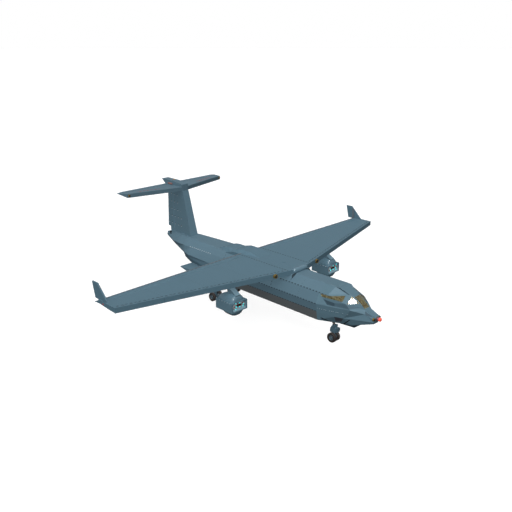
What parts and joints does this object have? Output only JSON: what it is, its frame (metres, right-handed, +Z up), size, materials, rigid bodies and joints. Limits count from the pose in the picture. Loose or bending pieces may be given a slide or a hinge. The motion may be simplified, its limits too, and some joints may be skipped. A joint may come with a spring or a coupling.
{
  "type": "military transport plane",
  "caption": "High-wing transport aircraft with a faceted hull, a jet pod on a slanted pylon under each wing, a T tail and a rear loading ramp.",
  "frame": {"origin": "on the ground, under the middle of the aircraft's length and on its plane of symmetry", "axes": "+Z up, the nose towards -Y, the port wing towards +X"},
  "size_m": [35, 29.66, 11.72],
  "materials": {
    "blue_grey_paint": "satin blue-grey paint over aluminium skin",
    "dark_trim": "matt black moulded panel",
    "cockpit_glass": "tinted laminated glass",
    "cabin_lining": "matt lining panels",
    "floor_plate": "worn floor plate",
    "engine_metal": "heat-browned metal",
    "bare_metal": "bare satin metal",
    "tyre_rubber": "dull black tyre on a painted hub",
    "red_lamp": "clear red lens",
    "clear_lamp": "clear lens with a gilt ring",
    "amber_lamp": "clear amber lens"
  },
  "bodies": {
    "airframe": {"fuselage_nose": "blue_grey_paint", "fuselage_center": "blue_grey_paint", "fuselage_rear": "blue_grey_paint", "fuselage_tail": "blue_grey_paint", "windscreen_center": "cockpit_glass", "windscreen_left": "cockpit_glass", "windscreen_right": "cockpit_glass", "side_window_left": "cockpit_glass", "side_window_right": "cockpit_glass", "cockpit_floor": "floor_plate", "cockpit_bulkhead": "cabin_lining", "crew_seats": "cabin_lining", "instrument_panel": "dark_trim", "cargo_floor": "floor_plate", "wing_center": "blue_grey_paint", "wing_left": "blue_grey_paint", "wing_right": "blue_grey_paint", "leading_edge_fairing": "blue_grey_paint", "wing_root_fairing": "blue_grey_paint", "winglet_left": "blue_grey_paint", "winglet_right": "blue_grey_paint", "nacelle_left": "blue_grey_paint", "nacelle_right": "blue_grey_paint", "engine_core_left": "engine_metal", "engine_core_right": "engine_metal", "pylon_left": "blue_grey_paint", "pylon_right": "blue_grey_paint", "fin": "blue_grey_paint", "tail_beam": "blue_grey_paint", "tailplane_left": "blue_grey_paint", "tailplane_right": "blue_grey_paint", "sponson_left": "blue_grey_paint", "sponson_right": "blue_grey_paint", "main_gear_leg_left": "blue_grey_paint", "main_gear_leg_right": "blue_grey_paint", "nose_gear_leg": "engine_metal", "nose_lamp": "red_lamp", "landing_lamp_left": "clear_lamp", "landing_lamp_right": "clear_lamp", "tailplane_lamp_left": "clear_lamp", "tailplane_lamp_right": "clear_lamp", "beacon_lamp": "amber_lamp"},
    "nose_fork": {"nose_gear_fork": "blue_grey_paint"},
    "nose_wheel_pair": {"nose_wheels": "tyre_rubber"},
    "main_wheel_pair_left": {"main_wheels_left": "tyre_rubber"},
    "main_wheel_pair_right": {"main_wheels_right": "tyre_rubber"},
    "fan_rotor_left": {"fan_left": "bare_metal"},
    "fan_rotor_right": {"fan_right": "bare_metal"},
    "rudder_body": {"rudder": "blue_grey_paint"},
    "elevator_body_left": {"elevator_left": "blue_grey_paint"},
    "elevator_body_right": {"elevator_right": "blue_grey_paint"},
    "aileron_body_left": {"aileron_left": "blue_grey_paint"},
    "aileron_body_right": {"aileron_right": "blue_grey_paint"},
    "flap_body_left": {"flap_left": "blue_grey_paint"},
    "flap_body_right": {"flap_right": "blue_grey_paint"},
    "ramp": {"cargo_ramp": "blue_grey_paint"},
    "aft_door": {"aft_cargo_door": "blue_grey_paint"},
    "crew_door_leaf": {"crew_door": "blue_grey_paint"}
  },
  "joints": [
    {"name": "nose_steering", "type": "hinge", "parent": "airframe", "child": "nose_fork", "pos_m": [0, -9.87, 1.72], "axis": [0, 0, 1], "range_deg": [-60, 60]},
    {"name": "nose_wheel_spin", "type": "hinge", "parent": "nose_fork", "child": "nose_wheel_pair", "pos_m": [0, -9.87, 0.47], "axis": [1, 0, 0], "continuous": true},
    {"name": "main_wheel_spin_left", "type": "hinge", "parent": "airframe", "child": "main_wheel_pair_left", "pos_m": [1.33, 5.03, 0.47], "axis": [1, 0, 0], "continuous": true},
    {"name": "main_wheel_spin_right", "type": "hinge", "parent": "airframe", "child": "main_wheel_pair_right", "pos_m": [-1.33, 5.03, 0.47], "axis": [1, 0, 0], "continuous": true},
    {"name": "fan_spin_left", "type": "hinge", "parent": "airframe", "child": "fan_rotor_left", "pos_m": [6.71, -3.85, 3.94], "axis": [0, 1, 0], "continuous": true},
    {"name": "fan_spin_right", "type": "hinge", "parent": "airframe", "child": "fan_rotor_right", "pos_m": [-6.71, -3.85, 3.94], "axis": [0, 1, 0], "continuous": true},
    {"name": "rudder_hinge", "type": "hinge", "parent": "airframe", "child": "rudder_body", "pos_m": [0, 13.22, 8.3], "axis": [0, 0, 1], "range_deg": [-25, 25]},
    {"name": "elevator_hinge_left", "type": "hinge", "parent": "airframe", "child": "elevator_body_left", "pos_m": [3.475, 13.52, 11.0239], "axis": [1, 0, 0], "range_deg": [-15, 25]},
    {"name": "elevator_hinge_right", "type": "hinge", "parent": "airframe", "child": "elevator_body_right", "pos_m": [-3.475, 13.52, 11.0239], "axis": [1, 0, 0], "range_deg": [-15, 25]},
    {"name": "aileron_hinge_left", "type": "hinge", "parent": "airframe", "child": "aileron_body_left", "pos_m": [13.65, 0.4129, 6.1035], "axis": [1, 0, 0], "range_deg": [-20, 20]},
    {"name": "aileron_hinge_right", "type": "hinge", "parent": "airframe", "child": "aileron_body_right", "pos_m": [-13.65, 0.4129, 6.1035], "axis": [1, 0, 0], "range_deg": [-20, 20]},
    {"name": "flap_hinge_left", "type": "hinge", "parent": "airframe", "child": "flap_body_left", "pos_m": [6.3, 0.5014, 6.0961], "axis": [-1, 0, 0], "range_deg": [0, 35]},
    {"name": "flap_hinge_right", "type": "hinge", "parent": "airframe", "child": "flap_body_right", "pos_m": [-6.3, 0.5014, 6.0961], "axis": [-1, 0, 0], "range_deg": [0, 35]},
    {"name": "ramp_hinge", "type": "hinge", "parent": "airframe", "child": "ramp", "pos_m": [0, 5.27, 2.72], "axis": [-1, 0, 0], "range_deg": [0, 48]},
    {"name": "aft_door_hinge", "type": "hinge", "parent": "airframe", "child": "aft_door", "pos_m": [0, 11.13, 4.36], "axis": [-1, 0, 0], "range_deg": [0, 35]},
    {"name": "crew_door_hinge", "type": "hinge", "parent": "airframe", "child": "crew_door_leaf", "pos_m": [2.16, -8.33, 3.9], "axis": [0, 0, -1], "range_deg": [0, 100]}
  ],
  "couplings": [
    {"joint": "elevator_hinge_right", "follows": "elevator_hinge_left", "ratio": 1},
    {"joint": "aileron_hinge_right", "follows": "aileron_hinge_left", "ratio": -1},
    {"joint": "flap_hinge_right", "follows": "flap_hinge_left", "ratio": 1}
  ]
}
